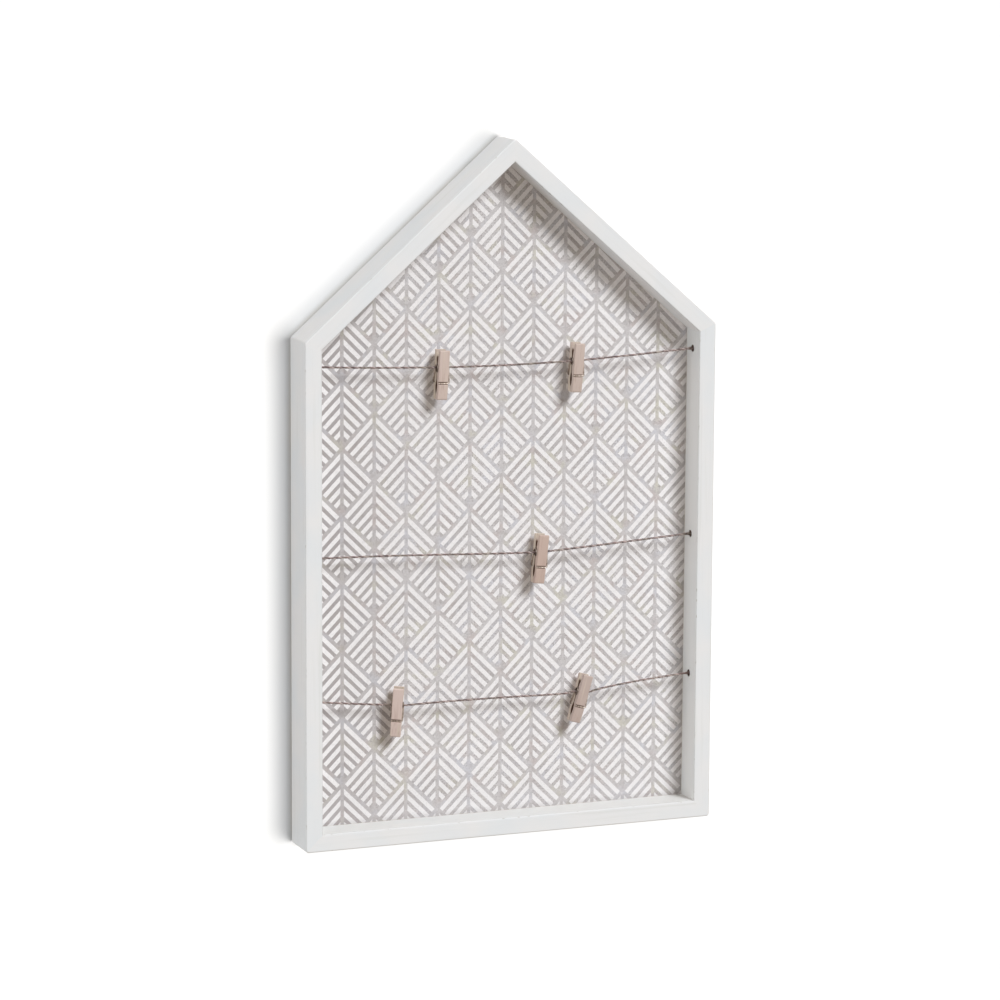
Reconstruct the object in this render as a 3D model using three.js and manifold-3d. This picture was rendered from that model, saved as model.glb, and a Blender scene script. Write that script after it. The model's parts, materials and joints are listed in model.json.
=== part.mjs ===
// A house-shaped memo board: a white shadow-box frame with a printed back panel, and three
// twines strung across it that carry five small spring pegs. Millimetres, +Z up.
// The front faces -Y, the wall is at y = 0, and the origin is where the hanger takes the wall nail.

import * as THREE from "three";
import { mergeVertices } from "three/addons/utils/BufferGeometryUtils.js";
import Module from "manifold-3d";

// Frame: five mitred rails
const BOARD_WIDTH = 300;
const EAVE_HEIGHT = 350;
const RIDGE_HEIGHT = 482;
const RAIL_WIDTH = 12;
const RAIL_DEPTH = 30;
const EDGE_ROUND = 0.8;
const CORNER_ROUND = 2;
const EDGE_STEPS = 3;

// Back panel, seated in a rebate at the back of the rails
const PANEL_RECESS = 22;
const PANEL_THICKNESS = 3;
const REBATE_WIDTH = 5;
const PANEL_CLEARANCE = 0.5;

// Gap that a piece keeps to a pocket or hole cut for it, and how far a cutter starts outside the wood
const CUT_GAP = 0.3;
const CUT_OVERRUN = 1;

// Framer's points: steel tabs pressed into the rebate's wall that hold the panel in
const POINT_LENGTH = 14;
const POINT_WIDTH = 5;
const POINT_THICKNESS = 0.6;
const POINT_BITE = 4;
const POINTS_PER_SIDE_RAIL = 2;
const POINTS_ON_BOTTOM_RAIL = 2;
const POINTS_PER_ROOF_RAIL = 2;

// V-nails: folded steel driven across each mitre from the back
const VNAIL_LEG = 5;
const VNAIL_THICKNESS = 0.6;
const VNAIL_DEPTH = 8;
const VNAIL_SETBACK = 3;
const VNAIL_SINK = 0.2;
const VNAIL_HALF_ANGLE = THREE.MathUtils.degToRad(45);

// Sawtooth hanger, nailed across the two roof rails below the ridge
const HANGER_NAIL_SPREAD = 37;
const HANGER_NAIL_INSET = 4.8;
const HANGER_HEIGHT = 7;
const HANGER_THICKNESS = 0.8;
const HANGER_BOW = 1;
const HANGER_BOW_TOP = 20;
const HANGER_BOW_FOOT = 25;
const HANGER_END_STEPS = 6;
const TOOTH_COUNT = 9;
const TOOTH_PITCH = 2.2;
const TOOTH_DEPTH = 1.5;
const NAIL_RADIUS = 0.6;
const NAIL_LENGTH = 9;
const NAIL_HEAD_RADIUS = 1.6;
const NAIL_HEAD_THICKNESS = 0.7;
const NAIL_SEAT_GAP = 0.1;
const NAIL_SIDES = 12;

// Twines: jute glued into blind holes in the side rails. Each route lists its points between
// the two holes as [x, forward or back of the twines' plane, above or below the holes].
const TWINE_DIAMETER = 1.8;
const TWINE_SETBACK = 12;
const TWINE_HOLE_DIAMETER = 5;
const TWINE_HOLE_DEPTH = 8;
const TWINE_HOLE_SIDES = 16;
const TWINE_SIDES = 8;
const TWINE_STEPS = 72;
const TWINE_SEARCH_HALVINGS = 40;
const TWINES = [
  {
    name: "twine_upper",
    height: 331.5,
    route: [
      [-122, 0, -0.9], [-95, 0, -2.4], [-64, 0, -3.7], [-48, 0, -4.4], [-32, 0, -4.7],
      [0, 0, -5.1], [34, 0, -4.8], [51, 0, -4.4], [66, 0, -3.8], [98, 0, -2.3], [122, 0, -0.8],
    ],
  },
  {
    name: "twine_middle",
    height: 201,
    route: [
      [-122, 0, -0.4], [-95, 0, -1.1], [-55, 0, -2.7], [-12, 0, -4.7], [12, 0, -5.6],
      [25, 0, -5.8], [38, 0, -5.4], [62, 0, -4.2], [92, 0, -2.5], [122, 0, -0.8],
    ],
  },
  {
    name: "twine_lower",
    height: 101.5,
    route: [
      [-124, 0, -1.4], [-108, 0.3, -3.3], [-94, 1, -4.9], [-85, 1.4, -5.8], [-79.6, 0, -6.2],
      [-74.2, -1.4, -6.4], [-65, -1, -6.4], [-48, -0.2, -6.4], [-4, 0, -6.8], [30, 0, -7.5],
      [44, 0, -7.6], [51.6, 0, -6.7], [56.6, 0, -7.3], [61.6, 0, -7.9], [69, 0, -6.4],
      [90, 0, -3.7], [116, 0, -1.4],
    ],
  },
];

// Pegs: two wooden halves and a torsion spring, hung jaws down with the twine through the coil
const PEG_LENGTH = 33.8;
const PEG_WIDTH = 7;
const PEG_HALF_THICKNESS = 4.6;
const PEG_HANDLE_LENGTH = 12.4;
const PEG_HANDLE_SPREAD = 0.6;
const PEG_HANDLE_ROUND = 0.7;
const PEG_HANDLE_SLOPE = THREE.MathUtils.degToRad(13);
const PEG_FACE_GAP = 0.3;
const PEG_WAIST_GAP = 1.2;
const PEG_TIP_THICKNESS = 3.9;
const PEG_TIP_TAPER = 9;
const PEG_TIP_CHAMFER = 0.5;
const PEG_TIP_CONTACT = 3.8;
const PEG_JAW_HOLLOW_LENGTH = 9.5;
const PEG_JAW_HOLLOW_DEPTH = 1.7;
const PEG_CURVE_SEGMENTS = 5;
const SPRING_WIRE = 0.9;
const SPRING_BORE = 3.4;
const SPRING_TURNS = 4;
const SPRING_STEPS_PER_TURN = 8;
const SPRING_SIDES = 5;
const SPRING_BAR_DROP = 10;
const SPRING_BAR_PLAY = 0.3;
const SPRING_BAR_OVERHANG = 0.2;
const SPRING_BEND = 0.7;
const PEGS = [
  { twine: "twine_upper", x: -48, drop: 0.4, yaw: 0, tilt: 2.7 },
  { twine: "twine_upper", x: 51, drop: 0.2, yaw: 0, tilt: 3.5 },
  { twine: "twine_middle", x: 25, drop: 0.1, yaw: 0, tilt: 5.5 },
  { twine: "twine_lower", x: -79.6, drop: 0.2, yaw: -24, tilt: 4 },
  { twine: "twine_lower", x: 56.6, drop: 0, yaw: 0, tilt: 16 },
];

// Sizes that follow from those above
const ROOF_PITCH = Math.atan2(RIDGE_HEIGHT - EAVE_HEIGHT, BOARD_WIDTH / 2);
const REBATE_INSET = RAIL_WIDTH - REBATE_WIDTH;
const PANEL_FRONT_Y = PANEL_RECESS - RAIL_DEPTH;
const PANEL_BACK_Y = PANEL_FRONT_Y + PANEL_THICKNESS;
const TWINE_Y = TWINE_SETBACK - RAIL_DEPTH;
const HANGER_MIDDLE_HEIGHT =
  RIDGE_HEIGHT - (HANGER_NAIL_SPREAD / 2) * Math.tan(ROOF_PITCH) - HANGER_NAIL_INSET / Math.cos(ROOF_PITCH);
const HANG_HEIGHT = HANGER_MIDDLE_HEIGHT - HANGER_HEIGHT / 2 + TOOTH_DEPTH;
const SPRING_COIL_RADIUS = (SPRING_BORE + SPRING_WIRE) / 2;
const SPRING_ARM_X = PEG_WIDTH / 2 + CUT_GAP + SPRING_WIRE / 2;
const SPRING_BAR_OUT = PEG_HALF_THICKNESS - SPRING_WIRE / 2;

// Materials
const paintedWood = { color: 0xe4e4e3, roughness: 0.55, metalness: 0 };
const printedBoard = { color: 0xd6d1ce, roughness: 0.7, metalness: 0 };
const jute = { color: 0x7d6f63, roughness: 0.95, metalness: 0 };
const pegWood = { color: 0xc6b4a5, roughness: 0.65, metalness: 0 };
const steel = { color: 0x9a9a98, roughness: 0.35, metalness: 1 };

const wasm = await Module();
wasm.setup();

const board = new THREE.Group();
board.position.z = -HANG_HEIGHT;

// Adds a named piece to a group
function addPiece(group, name, geometry, finish) {
  const mesh = new THREE.Mesh(geometry, new THREE.MeshStandardMaterial(finish));
  mesh.name = name;
  group.add(mesh);
  return mesh;
}

// A closed geometry as a solid that can be cut
function toSolid(geometry) {
  const bare = geometry.clone();
  bare.deleteAttribute("normal");
  bare.deleteAttribute("uv");
  const merged = mergeVertices(bare);
  return new wasm.Manifold(new wasm.Mesh({
    numProp: 3,
    vertProperties: new Float32Array(merged.attributes.position.array),
    triVerts: new Uint32Array(merged.index.array),
  }));
}

// A solid as a geometry
function fromSolid(solid) {
  const mesh = solid.getMesh();
  const geometry = new THREE.BufferGeometry();
  geometry.setAttribute("position", new THREE.BufferAttribute(mesh.vertProperties, 3));
  geometry.setIndex(new THREE.BufferAttribute(mesh.triVerts, 1));
  geometry.computeVertexNormals();
  return geometry;
}

// A geometry with others cut out of it
function cutAway(geometry, tools) {
  return fromSolid(tools.reduce((solid, tool) => solid.subtract(toSolid(tool)), toSolid(geometry)));
}

// A shape drawn in x and z, extruded forwards from y = 0
function upright(shape, depth) {
  return new THREE.ExtrudeGeometry(shape, { depth, bevelEnabled: false }).rotateX(Math.PI / 2);
}

// The house outline, moved in from the outside of the frame
function houseOutline(inset) {
  const side = BOARD_WIDTH / 2 - inset;
  const eave = EAVE_HEIGHT + inset * Math.tan(ROOF_PITCH) - inset / Math.cos(ROOF_PITCH);
  return {
    bottom_left: new THREE.Vector2(-side, inset),
    bottom_right: new THREE.Vector2(side, inset),
    eave_right: new THREE.Vector2(side, eave),
    ridge: new THREE.Vector2(0, RIDGE_HEIGHT - inset / Math.cos(ROOF_PITCH)),
    eave_left: new THREE.Vector2(-side, eave),
  };
}

// Section of a rail as [inset, y], with its outer face at a given inset: eased front edges and a rebate
function railSection(outside) {
  const front = -RAIL_DEPTH;
  const section = [[outside, 0]];
  for (let step = 0; step <= EDGE_STEPS; step += 1) {
    const angle = (step / EDGE_STEPS) * (Math.PI / 2);
    const inset = outside + EDGE_ROUND * (1 - Math.cos(angle));
    section.push([inset, front + EDGE_ROUND * (1 - Math.sin(angle))]);
  }
  for (let step = 0; step <= EDGE_STEPS; step += 1) {
    const angle = (step / EDGE_STEPS) * (Math.PI / 2);
    const inset = RAIL_WIDTH - EDGE_ROUND * (1 - Math.sin(angle));
    section.push([inset, front + EDGE_ROUND * (1 - Math.cos(angle))]);
  }
  section.push([RAIL_WIDTH, PANEL_FRONT_Y], [REBATE_INSET, PANEL_FRONT_Y], [REBATE_INSET, 0]);
  return section;
}

// Sections at a rail's end, from the mitre on, where its outer face turns round the corner
function mitredEnd(corner, along) {
  const slant = houseOutline(1)[corner].clone().sub(houseOutline(0)[corner]).dot(along);
  const turn = Math.atan(slant);
  const rings = [];
  for (let step = EDGE_STEPS; step >= 0; step -= 1) {
    const angle = (turn * step) / EDGE_STEPS;
    const outside = CORNER_ROUND * (1 - Math.cos(angle));
    const reach = CORNER_ROUND * (slant - Math.sin(angle)) - outside * slant;
    rings.push(railSection(outside).map(([inset, y]) => {
      const place = houseOutline(inset)[corner].clone().addScaledVector(along, reach);
      return [place.x, y, place.y];
    }));
  }
  return rings;
}

// A rail from one corner of the house to the next, mitred at both ends
function mitredRail(from, to) {
  const along = houseOutline(0)[to].clone().sub(houseOutline(0)[from]).normalize();
  const rings = [...mitredEnd(from, along), ...mitredEnd(to, along.clone().negate()).reverse()];
  const section = railSection(0);
  const count = section.length;
  const position = rings.flat(2);
  const index = [];
  for (let ring = 0; ring + 1 < rings.length; ring += 1) {
    for (let side = 0; side < count; side += 1) {
      const here = ring * count + side;
      const next = ring * count + ((side + 1) % count);
      index.push(here, count + next, next, here, count + here, count + next);
    }
  }
  const contour = section.map(([inset, y]) => new THREE.Vector2(inset, y));
  const last = (rings.length - 1) * count;
  for (const [a, b, c] of THREE.ShapeUtils.triangulateShape(contour, [])) {
    index.push(a, b, c, last + a, last + c, last + b);
  }
  const geometry = new THREE.BufferGeometry();
  geometry.setAttribute("position", new THREE.Float32BufferAttribute(position, 3));
  geometry.setIndex(index);
  return geometry;
}

// Places along a rail where framer's points go in, each with its turn about Y
function pointPlaces(from, to, count) {
  const start = houseOutline(REBATE_INSET)[from];
  const end = houseOutline(REBATE_INSET)[to];
  const along = end.clone().sub(start).normalize();
  const places = [];
  for (let k = 0; k < count; k += 1) {
    const place = start.clone().lerp(end, (k + 0.5) / count);
    places.push({ place, turn: Math.atan2(-along.x, -along.y) });
  }
  return places;
}

// A framer's point from above: a blunt tab over the panel and a sharp end in the wood
function pointShape(gap) {
  const half = POINT_WIDTH / 2 + gap;
  const shoulder = -POINT_BITE + POINT_WIDTH / 2;
  const shape = new THREE.Shape();
  shape.moveTo(POINT_LENGTH - POINT_BITE, -half);
  shape.lineTo(POINT_LENGTH - POINT_BITE, half);
  shape.lineTo(shoulder, half);
  shape.lineTo(-POINT_BITE - gap, gap);
  shape.lineTo(-POINT_BITE - gap, -gap);
  shape.lineTo(shoulder, -half);
  return shape;
}

// A framer's point, or with a gap the slot for one, laid on the back of the panel
function pointGeometry(gap) {
  const outside = PANEL_BACK_Y + POINT_THICKNESS + gap;
  return upright(pointShape(gap), POINT_THICKNESS + 2 * gap).translate(0, outside, 0);
}

// A V-nail, or with a gap the pocket for one: its legs run from the mitre into each rail
function vnailGeometry(gap) {
  const half = VNAIL_THICKNESS / 2 + gap;
  const reach = VNAIL_LEG + gap;
  const legX = Math.cos(VNAIL_HALF_ANGLE);
  const legZ = Math.sin(VNAIL_HALF_ANGLE);
  const shape = new THREE.Shape();
  shape.moveTo(-half / legZ, 0);
  shape.lineTo(reach * legX - half * legZ, -reach * legZ - half * legX);
  shape.lineTo(reach * legX + half * legZ, -reach * legZ + half * legX);
  shape.lineTo(half / legZ, 0);
  shape.lineTo(reach * legX + half * legZ, reach * legZ - half * legX);
  shape.lineTo(reach * legX - half * legZ, reach * legZ + half * legX);
  const start = gap > 0 ? CUT_OVERRUN : -VNAIL_SINK;
  const end = -VNAIL_SINK - VNAIL_DEPTH - gap;
  return upright(shape, start - end).translate(0, start, 0);
}

// Where a V-nail's fold lies on a mitre, and its turn about Y
function vnailPlace(corner) {
  const outer = houseOutline(0)[corner];
  const inward = houseOutline(RAIL_WIDTH)[corner].clone().sub(outer).normalize();
  const place = outer.clone().addScaledVector(inward, VNAIL_SETBACK);
  return { place, turn: Math.atan2(-inward.y, inward.x) };
}

// A geometry turned about Y and moved to a place in the frame's plane
function placed(geometry, { place, turn }) {
  return geometry.rotateY(turn).translate(place.x, 0, place.y);
}

// A twine's hole, drilled from a side rail's inner face
function twineHole(side, height) {
  const mouth = BOARD_WIDTH / 2 - RAIL_WIDTH;
  const radius = TWINE_HOLE_DIAMETER / 2;
  const drill = new THREE.CylinderGeometry(radius, radius, 2 * TWINE_HOLE_DEPTH, TWINE_HOLE_SIDES);
  return drill.rotateZ(Math.PI / 2).translate(side * mouth, TWINE_Y, height);
}

// Frame rails with the holes, slots and pockets that each of them holds
const RAILS = [
  { name: "bottom_rail", from: "bottom_left", to: "bottom_right", points: POINTS_ON_BOTTOM_RAIL },
  { name: "right_side_rail", from: "bottom_right", to: "eave_right", points: POINTS_PER_SIDE_RAIL, side: 1 },
  { name: "right_roof_rail", from: "eave_right", to: "ridge", points: POINTS_PER_ROOF_RAIL, nail: 1 },
  { name: "left_roof_rail", from: "ridge", to: "eave_left", points: POINTS_PER_ROOF_RAIL, nail: -1 },
  { name: "left_side_rail", from: "eave_left", to: "bottom_left", points: POINTS_PER_SIDE_RAIL, side: -1 },
];

for (const rail of RAILS) {
  const cuts = [rail.from, rail.to].map((corner) => placed(vnailGeometry(CUT_GAP), vnailPlace(corner)));
  for (const spot of pointPlaces(rail.from, rail.to, rail.points)) {
    cuts.push(placed(pointGeometry(CUT_GAP), spot));
  }
  if (rail.side) {
    cuts.push(...TWINES.map((twine) => twineHole(rail.side, twine.height)));
  }
  if (rail.nail) {
    const radius = NAIL_RADIUS + CUT_GAP;
    const shank = new THREE.CylinderGeometry(radius, radius, 2 * NAIL_LENGTH, NAIL_SIDES);
    cuts.push(shank.translate((rail.nail * HANGER_NAIL_SPREAD) / 2, 0, HANGER_MIDDLE_HEIGHT));
  }
  addPiece(board, rail.name, cutAway(mitredRail(rail.from, rail.to), cuts), paintedWood);
}

// Corner V-nails
for (const corner of Object.keys(houseOutline(0))) {
  const { place, turn } = vnailPlace(corner);
  const nail = addPiece(board, `${corner}_vnail`, vnailGeometry(0), steel);
  nail.position.set(place.x, 0, place.y);
  nail.rotation.y = turn;
}

// Back panel
const panelOutline = new THREE.Shape(Object.values(houseOutline(REBATE_INSET + PANEL_CLEARANCE)));
const panel = addPiece(board, "back_panel", upright(panelOutline, PANEL_THICKNESS), printedBoard);
panel.position.y = PANEL_BACK_Y;

// Framer's points
let pointNumber = 0;
for (const rail of RAILS) {
  for (const { place, turn } of pointPlaces(rail.from, rail.to, rail.points)) {
    pointNumber += 1;
    const point = addPiece(board, `panel_point_${pointNumber}`, pointGeometry(0), steel);
    point.position.set(place.x, 0, place.y);
    point.rotation.y = turn;
  }
}

// Sawtooth hanger: a bowed strip whose lower edge has teeth for the wall nail
function hangerGeometry() {
  const half = HANGER_HEIGHT / 2;
  const end = HANGER_NAIL_SPREAD / 2;
  const reach = end + half;
  const bowTop = HANGER_BOW_TOP / 2;
  const bowFoot = HANGER_BOW_FOOT / 2;
  const bow = [
    [-reach, 0], [-bowFoot, 0], [-bowTop, HANGER_BOW], [bowTop, HANGER_BOW], [bowFoot, 0], [reach, 0],
  ];
  const outer = bow.map(([x, y]) => [x, y + HANGER_THICKNESS]).reverse();
  const strip = new THREE.Shape([...bow, ...outer].map(([x, y]) => new THREE.Vector2(x, y)));
  const bent = new THREE.ExtrudeGeometry(strip, { depth: HANGER_HEIGHT, bevelEnabled: false });
  bent.translate(0, 0, -half);

  const face = new THREE.Shape();
  face.absarc(end, 0, half, -Math.PI / 2, Math.PI / 2, false);
  face.absarc(-end, 0, half, Math.PI / 2, (3 * Math.PI) / 2, false);
  for (let tooth = 0; tooth < TOOTH_COUNT; tooth += 1) {
    const middle = (tooth - (TOOTH_COUNT - 1) / 2) * TOOTH_PITCH;
    face.lineTo(middle - TOOTH_PITCH / 2, -half);
    face.lineTo(middle, -half + TOOTH_DEPTH);
  }
  face.lineTo((TOOTH_COUNT * TOOTH_PITCH) / 2, -half);
  for (const side of [-1, 1]) {
    const hole = new THREE.Path();
    hole.absarc(side * end, 0, NAIL_RADIUS + CUT_GAP, 0, 2 * Math.PI, false);
    face.holes.push(hole);
  }
  const through = HANGER_BOW + HANGER_THICKNESS;
  const stamped = new THREE.ExtrudeGeometry(face, {
    depth: 3 * through, bevelEnabled: false, curveSegments: HANGER_END_STEPS,
  });
  stamped.rotateX(Math.PI / 2).translate(0, 2 * through, 0);
  return fromSolid(toSolid(bent).intersect(toSolid(stamped)));
}

const hanger = addPiece(board, "sawtooth_hanger", hangerGeometry(), steel);
hanger.position.z = HANGER_MIDDLE_HEIGHT;

// Hanger nails
function nailGeometry() {
  const seat = HANGER_THICKNESS + NAIL_SEAT_GAP;
  const tip = -NAIL_LENGTH + CUT_GAP;
  const profile = [
    [0, tip], [NAIL_RADIUS, tip + 2 * NAIL_RADIUS], [NAIL_RADIUS, seat], [NAIL_HEAD_RADIUS, seat],
    [NAIL_HEAD_RADIUS, seat + NAIL_HEAD_THICKNESS / 2], [0, seat + NAIL_HEAD_THICKNESS],
  ];
  return new THREE.LatheGeometry(profile.map(([r, y]) => new THREE.Vector2(r, y)), NAIL_SIDES);
}

for (const [name, side] of [["hanger_nail_left", -1], ["hanger_nail_right", 1]]) {
  const nail = addPiece(board, name, nailGeometry(), steel);
  nail.position.set((side * HANGER_NAIL_SPREAD) / 2, 0, HANGER_MIDDLE_HEIGHT);
}

// Twines
function twineCurve({ height, route }) {
  const mouth = BOARD_WIDTH / 2 - RAIL_WIDTH;
  const end = mouth + TWINE_HOLE_DEPTH - CUT_GAP;
  const straight = mouth - TWINE_DIAMETER;
  const leftEnd = [-end, -mouth, -straight].map((x) => [x, 0, 0]);
  const rightEnd = [straight, mouth, end].map((x) => [x, 0, 0]);
  const points = [...leftEnd, ...route, ...rightEnd];
  const places = points.map(([x, back, up]) => new THREE.Vector3(x, TWINE_Y + back, height + up));
  return new THREE.CatmullRomCurve3(places, false, "centripetal");
}

const twineCurves = {};
for (const twine of TWINES) {
  const curve = twineCurve(twine);
  twineCurves[twine.name] = curve;
  const section = new THREE.Shape();
  for (let side = 0; side < TWINE_SIDES; side += 1) {
    const angle = (2 * Math.PI * side) / TWINE_SIDES;
    const corner = [(TWINE_DIAMETER / 2) * Math.cos(angle), (TWINE_DIAMETER / 2) * Math.sin(angle)];
    if (side === 0) {
      section.moveTo(...corner);
    } else {
      section.lineTo(...corner);
    }
  }
  const tube = new THREE.ExtrudeGeometry(section, {
    extrudePath: curve, steps: TWINE_STEPS, bevelEnabled: false,
  });
  addPiece(board, twine.name, tube, jute);
}

// The place on a twine at a given x
function placeOnTwine(curve, x) {
  let low = 0;
  let high = 1;
  for (let halving = 0; halving < TWINE_SEARCH_HALVINGS; halving += 1) {
    const middle = (low + high) / 2;
    if (curve.getPoint(middle).x < x) {
      low = middle;
    } else {
      high = middle;
    }
  }
  return curve.getPoint(low);
}

// Half of a peg, drawn as [out from the middle plane, up from the coil's centre] and extruded across
function pegHalfGeometry() {
  const jaw = PEG_LENGTH - PEG_HANDLE_LENGTH;
  const face = PEG_FACE_GAP / 2;
  const waist = PEG_WAIST_GAP / 2;
  const groove = SPRING_BORE / 2 + SPRING_WIRE + CUT_GAP;
  const barGroove = SPRING_WIRE / 2 + CUT_GAP + SPRING_BAR_PLAY;
  const barMiddle = SPRING_BAR_OUT + SPRING_BAR_PLAY;
  const barMouth = Math.acos((PEG_HALF_THICKNESS - barMiddle) / barGroove);
  const slope = Math.tan(PEG_HANDLE_SLOPE);
  const handleFace = face + PEG_HANDLE_LENGTH * slope;
  const grooveTop = Math.acos((face * Math.cos(PEG_HANDLE_SLOPE)) / groove) - PEG_HANDLE_SLOPE;
  const hollowBottom = -jaw + PEG_TIP_CONTACT;

  const shape = new THREE.Shape();
  shape.moveTo(face, -jaw);
  shape.lineTo(PEG_TIP_THICKNESS - PEG_TIP_CHAMFER, -jaw);
  shape.lineTo(PEG_TIP_THICKNESS, -jaw + PEG_TIP_CHAMFER);
  shape.lineTo(PEG_HALF_THICKNESS, -jaw + PEG_TIP_TAPER);
  shape.absarc(barMiddle, -SPRING_BAR_DROP, barGroove, -barMouth, barMouth, true);
  const roundOut = PEG_HALF_THICKNESS + PEG_HANDLE_SPREAD - PEG_HANDLE_ROUND;
  const roundUp = PEG_HANDLE_LENGTH - PEG_HANDLE_ROUND;
  shape.absarc(roundOut, roundUp, PEG_HANDLE_ROUND, 0, Math.PI / 2, false);
  shape.lineTo(handleFace, PEG_HANDLE_LENGTH);
  shape.absarc(0, 0, groove, grooveTop, -Math.acos(waist / groove), true);
  shape.lineTo(waist, hollowBottom + PEG_JAW_HOLLOW_LENGTH);
  const hollowMiddle = hollowBottom + PEG_JAW_HOLLOW_LENGTH / 2;
  const hollowPull = 2 * PEG_JAW_HOLLOW_DEPTH - (waist + face) / 2;
  shape.quadraticCurveTo(hollowPull, hollowMiddle, face, hollowBottom);

  const half = new THREE.ExtrudeGeometry(shape, {
    depth: PEG_WIDTH, bevelEnabled: false, curveSegments: PEG_CURVE_SEGMENTS,
  });
  const acrossX = new THREE.Matrix4().makeBasis(
    new THREE.Vector3(0, 1, 0), new THREE.Vector3(0, 0, 1), new THREE.Vector3(1, 0, 0),
  );
  return half.applyMatrix4(acrossX).translate(-PEG_WIDTH / 2, 0, 0);
}

// Centre line of a peg's spring: bar across the front half, arm, coil, arm, bar across the back half
function springLine() {
  const radius = SPRING_COIL_RADIUS;
  const bar = new THREE.Vector2(SPRING_BAR_OUT, SPRING_BAR_DROP);
  const barEnd = PEG_WIDTH / 2 + SPRING_BAR_OVERHANG;
  const leave = Math.acos(radius / bar.length()) - Math.atan2(bar.y, bar.x);
  const corner = new THREE.Vector3(SPRING_ARM_X, -bar.x, -bar.y);
  const armTop = new THREE.Vector3(SPRING_ARM_X, -radius * Math.cos(leave), radius * Math.sin(leave));
  const armWay = armTop.clone().sub(corner).normalize();

  const frontArm = [
    new THREE.Vector3(-barEnd, -bar.x, -bar.y),
    corner.clone().sub(new THREE.Vector3(SPRING_BEND, 0, 0)),
    corner.clone().addScaledVector(armWay, SPRING_BEND),
  ];
  const sweep = 2 * Math.PI * SPRING_TURNS + Math.PI - 2 * leave;
  const steps = Math.round((sweep / (2 * Math.PI)) * SPRING_STEPS_PER_TURN);
  const coil = [];
  for (let step = 0; step <= steps; step += 1) {
    const angle = leave + (sweep * step) / steps;
    const x = SPRING_ARM_X - (2 * SPRING_ARM_X * step) / steps;
    coil.push(new THREE.Vector3(x, -radius * Math.cos(angle), radius * Math.sin(angle)));
  }
  const backArm = frontArm.map((p) => new THREE.Vector3(-p.x, -p.y, p.z)).reverse();
  return [...frontArm, ...coil, ...backArm];
}

// A tube of flat sides along a line of points, closed at both ends
function tubeAlong(points, radius, sides) {
  const position = [];
  const index = [];
  const ways = points.map((point, k) => {
    const before = points[Math.max(k - 1, 0)];
    const after = points[Math.min(k + 1, points.length - 1)];
    return after.clone().sub(before).normalize();
  });
  const across = new THREE.Vector3(0, 0, 1);
  points.forEach((point, k) => {
    across.addScaledVector(ways[k], -across.dot(ways[k])).normalize();
    const third = new THREE.Vector3().crossVectors(ways[k], across);
    for (let side = 0; side < sides; side += 1) {
      const angle = (2 * Math.PI * side) / sides;
      const edge = point.clone();
      edge.addScaledVector(across, radius * Math.cos(angle)).addScaledVector(third, radius * Math.sin(angle));
      position.push(edge.x, edge.y, edge.z);
    }
  });
  for (let ring = 0; ring + 1 < points.length; ring += 1) {
    for (let side = 0; side < sides; side += 1) {
      const a = ring * sides + side;
      const b = ring * sides + ((side + 1) % sides);
      index.push(a, b, b + sides, a, b + sides, a + sides);
    }
  }
  const last = (points.length - 1) * sides;
  for (let side = 1; side + 1 < sides; side += 1) {
    index.push(0, side + 1, side, last, last + side, last + side + 1);
  }
  const geometry = new THREE.BufferGeometry();
  geometry.setAttribute("position", new THREE.Float32BufferAttribute(position, 3));
  geometry.setIndex(index);
  geometry.computeVertexNormals();
  return geometry;
}

// Least gap that a tube keeps to itself, between points further apart along it than a few diameters
function leastSelfGap(points, diameter) {
  const apart = 4 * diameter;
  const runs = [0];
  for (let k = 1; k < points.length; k += 1) {
    runs.push(runs[k - 1] + points[k].distanceTo(points[k - 1]));
  }
  const nearest = new THREE.Vector3();
  let least = Infinity;
  for (let k = 0; k < points.length; k += 1) {
    for (let start = 0; start + 1 < points.length; start += 1) {
      if (Math.min(Math.abs(runs[k] - runs[start]), Math.abs(runs[k] - runs[start + 1])) > apart) {
        new THREE.Line3(points[start], points[start + 1]).closestPointToPoint(points[k], true, nearest);
        least = Math.min(least, nearest.distanceTo(points[k]) - diameter);
      }
    }
  }
  return least;
}

const spring = springLine();
console.log(`peg spring: least gap to itself ${leastSelfGap(spring, SPRING_WIRE).toFixed(2)} mm`);

PEGS.forEach(({ twine, x, drop, yaw, tilt }, k) => {
  const peg = new THREE.Group();
  peg.position.copy(placeOnTwine(twineCurves[twine], x));
  peg.position.z -= drop;
  peg.rotation.set(0, THREE.MathUtils.degToRad(tilt), THREE.MathUtils.degToRad(yaw), "ZYX");
  addPiece(peg, `peg_${k + 1}_back_half`, pegHalfGeometry(), pegWood);
  const front = addPiece(peg, `peg_${k + 1}_front_half`, pegHalfGeometry(), pegWood);
  front.rotation.z = Math.PI;
  addPiece(peg, `peg_${k + 1}_spring`, tubeAlong(spring, SPRING_WIRE / 2, SPRING_SIDES), steel);
  board.add(peg);
});

export default board;
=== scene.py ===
import json
import math
import random

import bpy
from mathutils import Matrix, Vector, noise


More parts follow.
